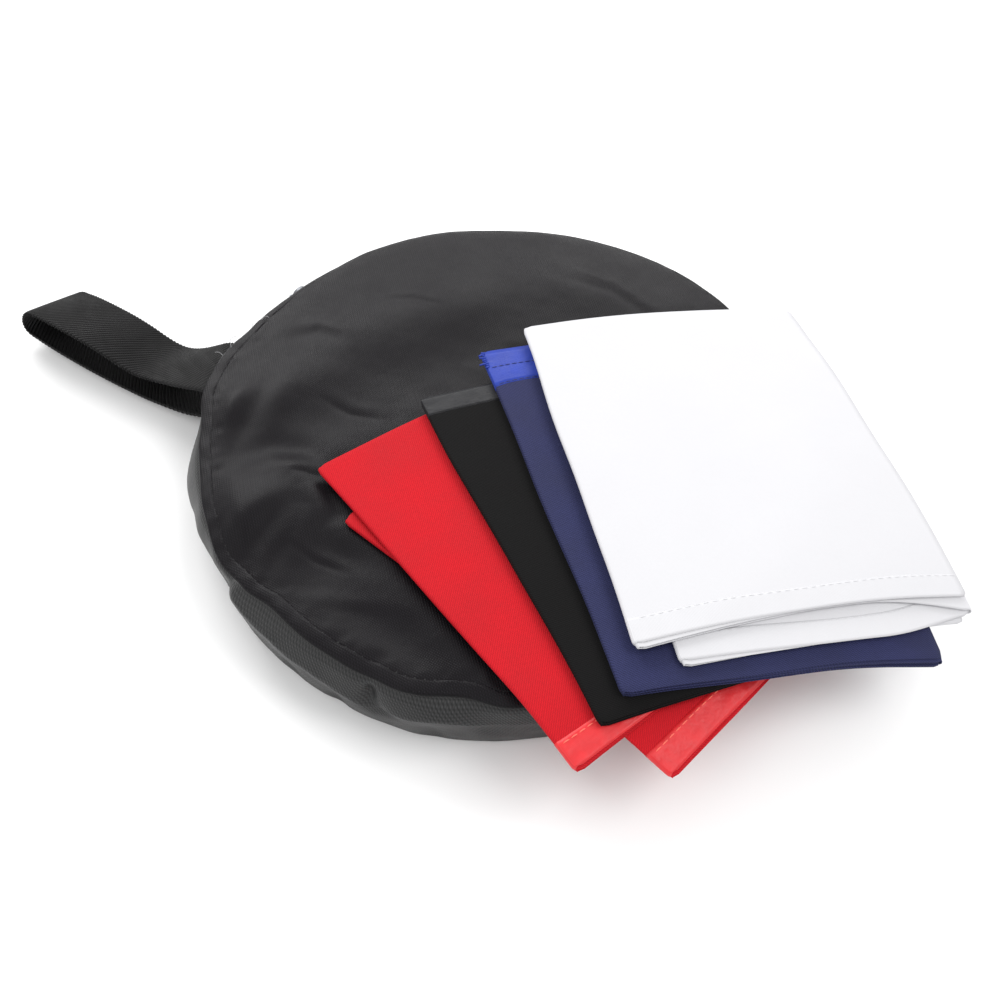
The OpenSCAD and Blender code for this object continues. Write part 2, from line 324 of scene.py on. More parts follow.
def webbing_material(name, color):
    """Slanting ribs crossed by fine threads."""
    n = Nodes(name, color, 0.5, Specular_IOR_Level=0.15)
    vector, along, across = n.flat()
    slant = n.math("ADD", n.math("MULTIPLY", along, math.cos(RIB_TURN)),
                   n.math("MULTIPLY", across, math.sin(RIB_TURN)))
    ribs = n.wave(slant, RIB_PITCH)
    threads = n.wave(across, 0.6 * MM)
    height = n.math("ADD", n.math("MULTIPLY", ribs, 0.7), n.math("MULTIPLY", threads, 0.3))
    wear = n.noise(vector, 60)
    # The ribs' height also sets the colour, 0.35 to 1.7 times: painted shade in the grooves and painted
    # highlight on the rib crests. The wear noise adds random tone.
    n.tint(color, n.math("MULTIPLY", n.ramp(height, 0.35, 1.7), n.spread(wear, 0.85, 1.15)))
    fine = n.bump(n.noise(vector, 2500, 2), 0.04 * MM)
    return n.finish(n.bump(height, 0.2 * MM, fine), n.spread(wear, 0.42, 0.58))


BAG_COLOR = (0.0064, 0.0052, 0.0070)
MAT = {
    "top": cloth_material("bag_top_fabric", BAG_COLOR, 0.85 * MM, 0.40, 0.0,
                          twill=0.4, painted_weave_shade=0.7, depth=0.10 * MM, crumple=0.4 * MM,
                          specular=0.13),
    "gusset": cloth_material("bag_gusset_fabric", (0.023, 0.023, 0.0235), 0.95 * MM, 0.42, 0.0,
                             twill=0.5, painted_weave_shade=0.8, depth=0.15 * MM, crumple=0.4 * MM,
                             specular=0.34),
    "binding": cloth_material("seam_fabric", (0.0095, 0.0090, 0.0100), 0.9 * MM, 0.5, 0.02,
                              twill=0.5, painted_weave_shade=0.35, depth=0.12 * MM, specular=0.18),
    "webbing": webbing_material("webbing_threads", (0.0075, 0.0072, 0.0075)),
    "tape": cloth_material("zip_tape_cloth", (0.018, 0.018, 0.019), 0.7 * MM, 0.7, 0.2,
                           painted_weave_shade=0.3, depth=0.08 * MM),
    "edge": cloth_material("hoop_channel_cloth", (0.016, 0.016, 0.018), 0.7 * MM, 0.7, 0.2),
    "pad": cloth_material("panel_cloth", (0.60, 0.60, 0.62), 0.6 * MM, 0.6, 0.1,
                          painted_weave_shade=0.05, depth=0.03 * MM),
    "red": cloth_material("red_cloth", (0.51, 0.0080, 0.0150), 0.68 * MM, 0.72, 0.01,
                          twill=0.6, painted_weave_shade=0.22, patch=0.07, depth=0.09 * MM, specular=0.14),
    "black": cloth_material("black_cloth", (0.0060, 0.0057, 0.0058), 0.7 * MM, 0.8, 0.03,
                            twill=0.6, painted_weave_shade=0.45, patch=0.2, depth=0.08 * MM, specular=0.1),
    "navy": cloth_material("navy_cloth", (0.0240, 0.0272, 0.0830), 0.7 * MM, 0.72, 0.03,
                           twill=0.6, painted_weave_shade=0.4, patch=0.14, depth=0.09 * MM, specular=0.17),
    "white": cloth_material("white_cloth", (0.620, 0.617, 0.636), 0.5 * MM, 0.75, 0.02,
                            twill=0.6, painted_weave_shade=0.015, patch=0.008, depth=0.01 * MM,
                            crumple=0.1 * MM, specular=0.12, grain=0.008),
    "red_tape": satin_material("red_satin", (0.67, 0.0150, 0.0200),
                               specular=0.5, ripple_depth=0.8 * MM),
    "black_tape": satin_material("black_band_cloth", (0.0120, 0.0120, 0.0140), 0.0, 0.22),
    "blue_tape": satin_material("royal_satin", (0.0240, 0.0500, 0.335), 0.0, 0.18),
    "white_tape": satin_material("white_hem_cloth", (0.620, 0.617, 0.636), 0.02, 0.12, 0.06 * MM, 0.008),
    "steel": metal_material("spring_steel", (0.42, 0.43, 0.46), 0.35),
    "slider": metal_material("gunmetal", (0.20, 0.205, 0.22), 0.38),
    "ferrule": metal_material("bright_tube", (0.65, 0.66, 0.68), 0.3),
    "coil": coil_material("zip_coil_nylon", (0.016, 0.016, 0.017)),
    "thread": thread_material("black_thread", (0.0035, 0.0035, 0.0037), 0.75),
    "red_thread": thread_material("red_thread", (0.95, 0.16, 0.11)),
    "blue_thread": thread_material("blue_thread", (0.010, 0.018, 0.12)),
    "white_thread": thread_material("white_thread", (0.68, 0.68, 0.70)),
    # Clear nylon thread, given a grey colour that stands in for its pale glint: a painted highlight.
    "clear_thread": thread_material("glint_grey_thread", (0.30, 0.30, 0.31)),
}

# ---- mesh helpers --------------------------------------------------------------


def make_object(name, points, faces, material, flat=None):
    """A smooth mesh. flat gives each point's place on the flat cloth, for its weave."""
    mesh = bpy.data.meshes.new(name)
    mesh.from_pydata([tuple(p) for p in np.reshape(points, (-1, 3))], [], faces)
    mesh.update()
    mesh.shade_smooth()
    if flat is not None:
        attribute = mesh.attributes.new("flat_m", "FLOAT_VECTOR", "POINT")
        flat = np.reshape(flat, (-1, 2)).astype(np.float32)
        flat = np.hstack([flat, np.zeros((len(flat), 1), np.float32)])
        attribute.data.foreach_set("vector", flat.ravel())
    mesh.materials.append(MAT[material])
    obj = bpy.data.objects.new(name, mesh)
    bpy.context.scene.collection.objects.link(obj)
    return obj


def grid_faces(rows, columns, close_rows=False, close_columns=False, first=0):
    """Quads of a grid stored row by row."""
    faces = []
    for i in range(rows if close_rows else rows - 1):
        j = (i + 1) % rows
        for k in range(columns if close_columns else columns - 1):
            m = (k + 1) % columns
            faces.append((first + i * columns + k, first + j * columns + k,
                          first + j * columns + m, first + i * columns + m))
    return faces


def rod_faces(rings, sides, first=0):
    """The skin of a rod with both its ends closed."""
    faces = grid_faces(rings, sides, close_columns=True, first=first)
    faces.append(tuple(first + k for k in range(sides)))
    faces.append(tuple(first + (rings - 1) * sides + k for k in reversed(range(sides))))
    return faces


def ring(centre, side, up, radius, sides):
    """Points round a centre, in the plane of side and up."""
    turns = [TAU * k / sides for k in range(sides)]
    return [centre + radius * (side * math.cos(a) + up * math.sin(a)) for a in turns]


def run_of(path):
    """How far along a path each of its points lies."""
    return np.concatenate([[0], np.cumsum(np.linalg.norm(np.diff(path, axis=0), axis=1))])


def turn_from(at, angle):
    """The turn from one direction to others, from -180 to 180 degrees."""
    return np.mod(angle - at + 180, 360) - 180


def polar(r, angle):
    return r * np.cos(np.radians(angle)), r * np.sin(np.radians(angle))


def thicken(obj, thickness, offset=-1.0):
    """Gives a single surface its thickness and applies it."""
    modifier = obj.modifiers.new("thickness", "SOLIDIFY")
    modifier.thickness = thickness
    modifier.offset = offset
    modifier.use_even_offset = False
    with bpy.context.temp_override(object=obj, active_object=obj, selected_objects=[obj]):
        bpy.ops.object.modifier_apply(modifier=modifier.name)
    return obj


def smooth_step(x):
    x = np.clip(x, 0.0, 1.0)
    return x * x * (3 - 2 * x)


def ripple(x, y, scale, seed=0.0):
    """Smooth noise from -1 to 1 at each point of two equal arrays."""
    shape = np.shape(x)
    flat_x, flat_y = np.ravel(x), np.ravel(y)
    values = [noise.noise(Vector((a * scale, b * scale, seed))) for a, b in zip(flat_x, flat_y)]
    return np.array(values).reshape(shape)


def normals_of(points):
    """Unit normals of a grid of points, shape (rows, columns, 3)."""
    du = np.gradient(points, axis=0)
    dv = np.gradient(points, axis=1)
    n = np.cross(du, dv)
    return n / np.maximum(np.linalg.norm(n, axis=-1, keepdims=True), 1e-12)


def join_mesh(obj, other):
    """Adds another object's mesh to obj and removes that object."""
    bm = bmesh.new()
    bm.from_mesh(obj.data)
    bm.from_mesh(other.data)
    bm.to_mesh(obj.data)
    bm.free()
    bpy.data.objects.remove(other)


def tube(name, path, radius, material, sides, closed=False, squash=1.0, wobble=0.0):
    """A round bead along a path, with its ends closed."""
    path = np.asarray(path, float)
    count = len(path)
    if closed:
        ahead, behind = np.roll(path, -1, 0), np.roll(path, 1, 0)
    else:
        ahead = np.vstack([path[1:], path[-1:]])
        behind = np.vstack([path[:1], path[:-1]])
    tangent = ahead - behind
    tangent /= np.linalg.norm(tangent, axis=1, keepdims=True)
    side = np.cross(tangent, UP)
    side /= np.maximum(np.linalg.norm(side, axis=1, keepdims=True), 1e-9)
    up = np.cross(side, tangent)
    length = run_of(path)
    points, flat = [], []
    for i in range(count):
        grow = 1 + wobble * noise.noise(Vector((length[i] * 90, 3.1, 7.7)))
        points += ring(path[i], side[i], up[i] * squash, radius * grow, sides)
        flat += [(length[i], radius * (TAU * k / sides)) for k in range(sides)]
    faces = grid_faces(count, sides, True, True) if closed else rod_faces(count, sides)
    return make_object(name, points, faces, material, flat)


def stitch_line(name, path, material, length, gap, radius):
    """Separate stitches laid end to end along a path, each dipping in at its ends."""
    run = run_of(path)
    points, faces = [], []
    sides, rings = 6, 5
    at = 0.0
    while at + length < run[-1]:
        first = len(points)
        stations = at + length * np.linspace(0, 1, rings)
        centre = np.stack([np.interp(stations, run, path[:, c]) for c in range(3)], 1)
        along = centre[-1] - centre[0]
        along /= np.linalg.norm(along)
        side = np.cross(along, UP)
        side /= np.linalg.norm(side)
        for i in range(rings):
            arch = math.sin(math.pi * i / (rings - 1))
            middle = centre[i] + UP * radius * (1.1 * arch - 0.5)
            points += ring(middle, side, UP, radius * (0.55 + 0.45 * arch), sides)
        faces += rod_faces(rings, sides, first)
        at += length + gap
    return make_object(name, points, faces, material)


def blend_over_fold(piece):
    """Bakes a piece's placement into its mesh."""
    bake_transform(piece)


def settle(piece, on_flap=False, body="bag", nodes=()):
    """Hides the CAD nodes a piece stands for, then bakes a flap piece in place or hangs any other piece from
    its body's empty.
    """
    if nodes:
        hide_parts(*nodes)
    if on_flap:
        blend_over_fold(piece)
    else:
        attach(piece, body)


# ---- the bag's soft shape --------------------------------------------------------

# Direction about the bag's axis in degrees, and a measure there in millimetres
RIM_STRAY = [
    (0, 1.0), (30, 1.0), (60, 2.0), (78, 2.4), (100, 1.5), (121, 0.8), (135, 2.6), (150, 2.4),
    (160, 0.9), (172, 0.9), (182, 2.0), (192, 4.6), (200, 4.8), (212, 0.6), (222, -0.4), (232, 0.4),
    (242, 1.8), (249, 0.0), (257, -2.6), (268, -1.0), (278, 0.0), (286, 2.0), (295, -0.2), (303, 3.6),
    (330, 2.5),
]
BELLY = [
    (0, 3.0), (30, 3.0), (60, 1.6), (68, 0.9), (121, 0.6), (174, 0.9), (184, 2.5), (195, 4.5),
    (210, 7.5), (218, 8.2), (229, 5.6), (238, 3.0), (244, 2.0), (249, 5.6), (256, 5.2), (267, 5.6),
    (280, 6.6), (288, 8.2), (299, 6.2), (307, 5.0), (330, 3.6),
]
CREASE_Z = [
    (0, 14), (68, 13), (174, 13), (217, 16), (236, 20), (246, 27), (256, 24.5), (266, 22), (274, 19.5),
    (279, 17), (284, 21), (292, 24), (300, 21), (330, 16),
]
CREASE_SHARP = [(0, 10), (230, 30), (246, 90), (262, 100), (280, 100), (300, 70), (330, 20)]
# How wide the sewn edge is, and how high its top stands over the seam below it
SEAM_BAND = [(0, 5.0), (40, 5.0), (66, 2.0), (90, 1.5), (160, 1.5), (178, 3.2), (190, 5.0), (240, 4.2),
             (270, 5.0), (330, 5.0)]
ROLL = [(0, 0.6), (40, 0.8), (70, 2.2), (110, 2.6), (160, 2.0), (185, 0.9), (250, 0.5), (330, 0.5)]
# Rises and hollows of the top: place, reach along and across, turn, height
TOP_FORMS = [
    (-62, -86, 26, 17, 60, 4.2),
    (-92, -40, 16, 34, -24, 1.6),
    (-30, -52, 26, 12, 66, -2.2),
    (-14, -80, 30, 14, 58, -1.8),
    (10, -104, 26, 9, -8, -1.5),
    (-100, -44, 10, 22, -20, 1.4),
    (-84, 2, 30, 24, 40, 1.2),
    (-52, 52, 44, 16, 45, 1.3),
    (4, 92, 56, 18, 6, 1.4),
    (-40, 16, 34, 22, 40, -1.8),
    (-64, -32, 22, 16, 30, -1.0),
]
# Soft folds of the top: a run of places, width and height
TOP_FOLDS = [
    ([(-84, -70), (-74, -58), (-62, -53), (-50, -55), (-40, -64)], 6.0, -1.0),
    ([(-76, -80), (-68, -66), (-58, -61), (-48, -63), (-40, -73), (-37, -90), (-31, -108)], 5.5, 1.5),
    ([(-45, -76), (-44, -94), (-42, -114)], 3.4, 0.55),
    ([(-52, -78), (-52, -96), (-50, -112)], 3.8, -0.7),
    ([(-60, -80), (-61, -92), (-62, -104)], 4.2, 0.4),
    ([(-38, -93), (-27, -94), (-12, -92)], 1.3, -0.35),
    ([(-38, -90), (-27, -91), (-12, -89)], 1.8, 0.25),
    ([(-24, -112), (-10, -104), (4, -98), (16, -94)], 3.4, 0.5),
    ([(-107, -28), (-104, -44), (-100, -62)], 4.2, 0.8),
    ([(-99, -20), (-94, -46), (-86, -74)], 4.6, -0.9),
    ([(-92, -18), (-84, -42), (-76, -62)], 5.5, 0.6),
    ([(-72, -26), (-58, -27), (-44, -23)], 1.8, -0.4),
    ([(-72, -22), (-58, -22), (-44, -18)], 2.8, 0.3),
    ([(-112, 0), (-100, 10), (-86, 11), (-74, 2)], 3.4, 0.4),
    ([(-108, -6), (-97, 4), (-84, 6)], 3.4, -0.4),
    ([(-84, 40), (-73, 46), (-60, 48)], 1.5, 0.22),
    ([(-83, 37), (-72, 43), (-60, 45)], 1.5, -0.2),
    ([(-30, 96), (2, 99), (34, 92)], 2.4, 0.35),
    ([(-26, 89), (4, 93), (38, 85)], 2.4, -0.3),
]
# Where the gusset is pinched: direction, height, reach in degrees, reach upwards, depth
GUSSET_PINCHES = [
    (243.5, 27.5, 4.5, 1.7, 3.6), (279, 23, 1.3, 4.0, 3.4), (281, 18, 2.6, 3.2, 2.2),
    (272, 8, 2.0, 9.0, 1.5), (290, 10, 2.4, 8.0, 1.6), (226, 18, 4.0, 9.0, 0.6),
    (206, 20, 5.0, 8.0, 0.6), (262, 8, 2.0, 6.0, 1.0), (300, 20, 3.0, 7.0, 1.2),
    (318, 16, 3.0, 9.0, 1.6), (342, 19, 4.0, 8.0, 1.3), (8, 15, 3.0, 9.0, 1.5), (38, 18, 4.0, 8.0, 1.2),
]
ROLL_MIDDLE = 1.0 * MM
FORM_GAIN = 1.3
FOLD_GAIN = 1.1
BASE_FOLLOWS = 0.45
GUTTER = 1.3 * MM
GUTTER_WIDTH = 1.3 * MM
GUTTER_BELOW_RIM = 1.6 * MM
SHELTER_REACH = 12 * MM
RISE_REACH = 14 * MM
ROLL_REACH = 9 * MM
SINK_REACH = 12 * MM
MIDDLE_REACH = 45 * MM
GROOVE_WIDTH = 0.45 * MM
GROOVE_DEPTH = 0.12 * MM
PUCKER_REACH = 3 * MM
BASE_SEAM_Z = 1.4 * MM
GUSSET_FOOT_Z = 1.6 * MM
RIM_STEP = 0.5
STITCH_PITCH = 3.6 * MM
BAG_CLOTH = 0.7 * MM
RIM_BASE = BAG_R - 0.6 * MM
SEAM_LIFT = 0.8 * MM


def around(table, angle):
    """A table's measure at angles in degrees, eased between its entries."""
    at = np.array([row[0] for row in table], float)
    amount = np.array([row[1] for row in table], float)
    at = np.concatenate([at - 360, at, at + 360])
    amount = np.tile(amount, 3)
    angle = np.mod(angle, 360)
    i = np.clip(np.searchsorted(at, angle, "right") - 1, 0, len(at) - 2)
    share = (angle - at[i]) / (at[i + 1] - at[i])
    share = (1 - np.cos(math.pi * share)) / 2
    return (amount[i] * (1 - share) + amount[i + 1] * share) * MM


def rim_radius(angle):
    return RIM_BASE + around(RIM_STRAY, angle)


# Where the seam sinks: direction, reach in degrees, depth
SEAM_SINKS = [(243, 7, 1.6), (279, 5, 1.2), (210, 8, 0.6), (262, 7, -0.6), (296, 6, 0.8)]


def seam_sink(angle):
    """How far the seam sinks where the gusset buckles."""
    sink = np.zeros_like(np.asarray(angle, float))
    for at, width, depth in SEAM_SINKS:
        off = turn_from(at, angle) / width
        sink = sink + depth * MM * np.exp(-off * off)
    return sink


def distance_to_run(x, y, run):
    """Distance from points to a run of places, and how far along it they lie (0 to 1)."""
    run = np.array(run, float) * MM
    best = np.full(np.shape(x), 1e3)
    where = np.zeros(np.shape(x))
    lengths = np.linalg.norm(np.diff(run, axis=0), axis=1)
    before = 0.0
    for (ax, ay), (bx, by), length in zip(run[:-1], run[1:], lengths):
        t = np.clip(((x - ax) * (bx - ax) + (y - ay) * (by - ay)) / length ** 2, 0, 1)
        d = np.hypot(x - ax - t * (bx - ax), y - ay - t * (by - ay))
        closer = d < best
        where = np.where(closer, (before + t * length) / lengths.sum(), where)
        best = np.where(closer, d, best)
        before += length
    return best, where


def cloth_shelter(x, y):
    """1 where the top is free to rise, falling to 0 under the folded cloths."""
    free = np.ones(np.shape(x))
    for place in RESTING:
        u, v = place.local(x, y)
        out = np.maximum(np.maximum(-u, u - place.width), np.maximum(-v, v - place.length))
        free = np.minimum(free, smooth_step((out + 2 * MM) / SHELTER_REACH))
    return free


def top_height(x, y):
    """Height of the top panel's outer face."""
    angle = np.degrees(np.arctan2(y, x))
    rim = rim_radius(angle)
    r = np.hypot(x, y)
    share = np.clip(r / rim, 0, 1)
    inset = np.maximum(rim - r, 0)
    z = RIM_Z + SEAM_LIFT + (DOME_TOP - RIM_Z - SEAM_LIFT - 0.3 * MM) * (1 - share ** 2)
    inside = smooth_step(inset / RISE_REACH)
    rise = np.zeros_like(z)
    for cx, cy, long, wide, turn, height in TOP_FORMS:
        a = math.radians(turn)
        u = (x - cx * MM) * math.cos(a) + (y - cy * MM) * math.sin(a)
        v = -(x - cx * MM) * math.sin(a) + (y - cy * MM) * math.cos(a)
        rise += FORM_GAIN * height * MM * np.exp(-(u / (long * MM)) ** 2 - (v / (wide * MM)) ** 2)
    for run, width, height in TOP_FOLDS:
        away, where = distance_to_run(x, y, run)
        taper = np.clip(np.sin(math.pi * np.clip(0.12 + 0.76 * where, 0, 1)), 0, 1)
        rise += FOLD_GAIN * height * MM * np.exp(-(away / (width * MM)) ** 2) * taper ** 1.5
    rise += 0.4 * MM * ripple(x, y, 34, 1.5) + 0.1 * MM * ripple(x, y, 110, 4.0)
    free = cloth_shelter(x, y)
    z = z + rise * inside * free
    # The edge rolls over to the seam
    middle = smooth_step(r / MIDDLE_REACH)
    roll = ROLL_MIDDLE + (around(ROLL, angle) - ROLL_MIDDLE) * middle
    round_over = np.clip(inset / ROLL_REACH, 0, 1)
    z = z + roll * np.sqrt(1 - (1 - round_over) ** 2) * (0.35 + 0.65 * free)
    z = z - seam_sink(angle) * (1 - smooth_step(inset / SINK_REACH))
    # The sewn edge stands up a little between the rim and the stitches
    band_width = around(SEAM_BAND, angle)
    band = np.clip(inset / band_width, 0, 1)
    full = np.clip(band_width / (4 * MM), 0, 1)
    z = z + 0.2 * MM * np.sin(math.pi * band) ** 0.6 * (band < 1) * full
    z = z + 0.35 * MM * ripple(np.radians(angle) * BAG_R, inset, 150, 6.5) * (band < 1) * full
    groove = (inset - band_width) / GROOVE_WIDTH
    pucker = 0.5 * MM * ripple(np.radians(angle) * BAG_R, inset * 0.4, 210, 9.5)
    pucker = pucker * np.exp(-((inset - band_width - 2 * MM) / PUCKER_REACH) ** 2)
    tug = 0.75 + 0.25 * np.cos(TAU * np.radians(angle) * BAG_R / STITCH_PITCH)
    return z + (pucker - GROOVE_DEPTH * tug * np.exp(-groove * groove)) * full


def top_panel_piece():
    """One round of cloth over the fixed top and the flap."""
    spokes = 720
    edge = 11 * MM / RIM_BASE
    share = np.concatenate([np.linspace(0.004, 1 - edge, 100, endpoint=False),
                            np.linspace(1 - edge, 1, 52)])
    rings = len(share)
    angle = np.linspace(0, 360, spokes, endpoint=False)
    a, s = np.meshgrid(angle, share, indexing="ij")
    r = s * rim_radius(a)
    x, y = polar(r, a)
    z = top_height(x, y)
    points = np.stack([x, y, z], -1).reshape(-1, 3)
    faces = grid_faces(spokes, rings, close_rows=True)
    centre = len(points)
    points = np.vstack([points, [[0, 0, float(top_height(np.array(0.0), np.array(0.0)))]]])
    faces += [(centre, i * rings, ((i + 1) % spokes) * rings) for i in range(spokes)]
    piece = make_object("bag_top_cloth", points, faces, "top", points[:, :2])
    thicken(piece, BAG_CLOTH)
    settle(piece, on_flap=True, nodes=("top_panel", "top_flap"))


def gusset_radius(angle, height):
    """The gusset bellies out to a lazy crease and is pinched where it buckles."""
    top = rim_radius(angle) - 0.5 * MM
    belly = BAG_R - 0.9 * MM + around(BELLY, angle)
    base = BAG_R - 1.8 * MM + BASE_FOLLOWS * around(BELLY, angle)
    crease = around(CREASE_Z, angle)
    sharp = around(CREASE_SHARP, angle) / (100 * MM)
    below = np.clip(height / crease, 0, 1)
    above = np.clip((RIM_Z - height) / (RIM_Z - crease), 0, 1)
    low_share = (1 - sharp) * np.sin(math.pi / 2 * below) + sharp * below
    high_share = (1 - sharp) * np.sin(math.pi / 2 * above) + sharp * above
    r = np.where(height < crease, base + (belly - base) * low_share, top + (belly - top) * high_share)
    gutter = (RIM_Z - GUTTER_BELOW_RIM - height) / GUTTER_WIDTH
    r = r - GUTTER * np.exp(-gutter * gutter)
    for at, z, wide, tall, depth in GUSSET_PINCHES:
        off = turn_from(at, angle)
        r = r - depth * MM * np.exp(-(off / wide) ** 2 - ((height - z * MM) / (tall * MM)) ** 2)
    return r


def gusset_piece(name, node, start, end, low, high):
    columns = max(24, int((end - start) * 4))
    rows = 56
    angle = np.linspace(start, end, columns)
    share = np.linspace(0, 1, rows)
    a, h = np.meshgrid(angle, low + (high - low) * share, indexing="ij")
    r = gusset_radius(a, h)
    arc = np.radians(a) * BAG_R
    free = np.sin(math.pi * np.clip(h / RIM_Z, 0, 1))
    zip_side = np.exp(-(turn_from(ZIP_MID, a) / (ZIP_HALF * 1.02)) ** 12)
    free = free * (1 - 0.7 * zip_side)
    r = r + free * (0.5 * MM * ripple(arc, h * 1.6, 42, 8.0) + 0.25 * MM * ripple(arc, h, 150, 2.0))
    drop = seam_sink(a) * (h / RIM_Z) ** 2
    x, y = polar(r, a)
    points = np.stack([x, y, h - drop], -1)
    flat = np.stack([arc, h], -1)
    piece = make_object(name, points, grid_faces(columns, rows), "gusset", flat)
    thicken(piece, BAG_CLOTH, 1.0)
    settle(piece, nodes=(node,))


def rim_path(start, end, inset, lift):
    """Points on the top cloth, inset from its rim. No inset gives the line of the topstitching."""
    angle = np.arange(start, end + RIM_STEP / 2, RIM_STEP)
    r = rim_radius(angle) - (around(SEAM_BAND, angle) if inset is None else inset)
    x, y = polar(r, angle)
    return np.stack([x, y, top_height(x, y) + lift], -1)


def seam_pieces():
    """The rolled seam edge and the topstitching beside it, fixed and on the flap."""
    for name, node, start, end, flap in (
        ("top_seam_fixed", "top_seam_binding", ZIP_TO + 0.3, ZIP_FROM + 359.7, False),
        ("top_seam_flap", "flap_seam_binding", ZIP_FROM + 0.4, ZIP_TO - 0.4, True),
    ):
        roll = tube(name, rim_path(start, end, 0.05 * MM, -0.5 * MM), 0.7 * MM, "binding",
                    sides=10, squash=0.8, wobble=0.25)
        settle(roll, flap, nodes=(node,))
        path = rim_path(start, end, None, 0.1 * MM)
        stitches = stitch_line(name + "_stitches", path, "thread", length=0.66 * STITCH_PITCH,
                               gap=0.34 * STITCH_PITCH, radius=0.5 * MM)
        settle(stitches, flap)


def bottom_pieces():
    """Underside cloth and the rolled seam round it."""
    spokes, rings = 180, 24
    angle = np.linspace(0, 360, spokes, endpoint=False)
    a, s = np.meshgrid(angle, np.linspace(0.01, 1, rings), indexing="ij")
    edge = gusset_radius(a, np.full_like(a, BASE_SEAM_Z)) - 0.3 * MM
    r = s * edge
    x, y = polar(r, a)
    z = 0.95 * MM + 0.2 * MM * ripple(x, y, 40, 6.0)
    points = np.stack([x, y, z], -1).reshape(-1, 3)
    faces = grid_faces(spokes, rings, close_rows=True)
    faces.append(tuple(i * rings for i in reversed(range(spokes))))
    piece = make_object("bag_base_cloth", points, faces, "gusset", points[:, :2])
    thicken(piece, BAG_CLOTH)
    settle(piece, nodes=("bottom_panel",))
    angle = np.arange(0, 360, 1.0)
    r = gusset_radius(angle, np.full_like(angle, BASE_SEAM_Z)) - 1.0 * MM
    ring = np.stack([*polar(r, angle), np.full_like(angle, 1.2 * MM)], -1)
    roll = tube("base_seam", ring, 1.1 * MM, "binding", sides=10, closed=True, wobble=0.2)
    settle(roll, nodes=("bottom_seam_binding",))


# ---- zip -------------------------------------------------------------------------

TAPE_R = BAG_R - 0.9 * MM
TOOTH_PITCH = 1.25 * MM


def tape_piece(name, node, low, high, on_flap):
    columns, rows = 320, 9
    angle = np.linspace(ZIP_FROM + 0.7, ZIP_TO - 0.7, columns)
    a, h = np.meshgrid(angle, np.linspace(low, high, rows), indexing="ij")
    r = TAPE_R + 0.12 * MM * ripple(np.radians(a) * BAG_R, h, 120, 9.0)
    points = np.stack([*polar(r, a), h], -1)
    flat = np.stack([np.radians(a) * BAG_R, h], -1)
    piece = make_object(name, points, grid_faces(columns, rows), "tape", flat)
    thicken(piece, 0.5 * MM, 1.0)
    settle(piece, on_flap, nodes=(node,))


def coil_piece(name, node, z, toward, on_flap, shift):
    """A row of bent nylon teeth, each a loop that reaches toward the other row."""
    radius, sides, rings = 0.27 * MM, 6, 9
    step = math.degrees(TOOTH_PITCH / BAG_R)
    points, faces = [], []
    angle = ZIP_FROM + 1.4 + shift * step
    while angle < ZIP_TO - 1.4:
        a = math.radians(angle)
        out = np.array((math.cos(a), math.sin(a), 0))
        along = np.array((-math.sin(a), math.cos(a), 0))
        first = len(points)
        for i in range(rings):
            t = math.pi * (0.15 + 1.7 * i / (rings - 1))
            centre = out * (TAPE_R + 0.75 * MM - 0.45 * MM * math.cos(t))
            centre = centre + along * 0.3 * MM * (i / (rings - 1) - 0.5)
            centre = centre + np.array((0, 0, z - toward * 0.75 * MM * math.cos(t * 0.5 + math.pi / 2)))
            points += ring(centre, along, out, radius, sides)
        faces += rod_faces(rings, sides, first)
        angle += step
    piece = make_object(name, points, faces, "coil")
    settle(piece, on_flap, nodes=(node,))


def zip_pieces():
    teeth_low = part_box("zip_teeth_lower")
    teeth_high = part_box("zip_teeth_upper")
    tape_piece("zip_tape_low", "zip_tape_lower", TAPE_LOW[0].z - 0.8 * MM, TAPE_LOW[1].z + 0.6 * MM, False)
    tape_piece("zip_tape_high", "zip_tape_upper", TAPE_HIGH[0].z - 0.6 * MM, TAPE_HIGH[1].z + 0.2 * MM, True)
    coil_piece("zip_coil_low", "zip_teeth_lower", (teeth_low[0].z + teeth_low[1].z) / 2, 1, False, 0.0)
    coil_piece("zip_coil_high", "zip_teeth_upper", (teeth_high[0].z + teeth_high[1].z) / 2, -1, True, 0.5)


# ---- carry loop --------------------------------------------------------------------

# Side view of the loop: how far out from the gusset, and how high
LOOP_RUN = [
    (-7, 30.4), (0, 30.3), (6, 28.8), (12, 25.2), (20, 20.6), (28, 17.2), (36, 15.6), (44, 16.6),
    (54, 19.4), (66, 21.2), (80, 21.4), (92, 20.4), (100, 18.4), (104.5, 14.8), (106, 10.6),
    (104.6, 6.8), (98, 4.6), (86, 3.7), (70, 3.4), (50, 3.4), (32, 3.7), (18, 5.6), (9, 9.4),
    (3, 12.0), (-7, 12.8),
]


def rounded_run(points, count):
    """A smooth curve through the points."""
    points = np.asarray(points, float)
    ends = np.vstack([2 * points[0] - points[1], points, 2 * points[-1] - points[-2]])
    out = []
    each = count // (len(points) - 1)
    for i in range(len(points) - 1):
        a, b, c, d = ends[i:i + 4]
        t = np.linspace(0, 1, each, endpoint=False)[:, None]
        out.append(0.5 * (2 * b + (c - a) * t + (2 * a - 5 * b + 4 * c - d) * t ** 2
                          + (3 * b - a - 3 * c + d) * t ** 3))
    return np.vstack(out + [points[-1:]])


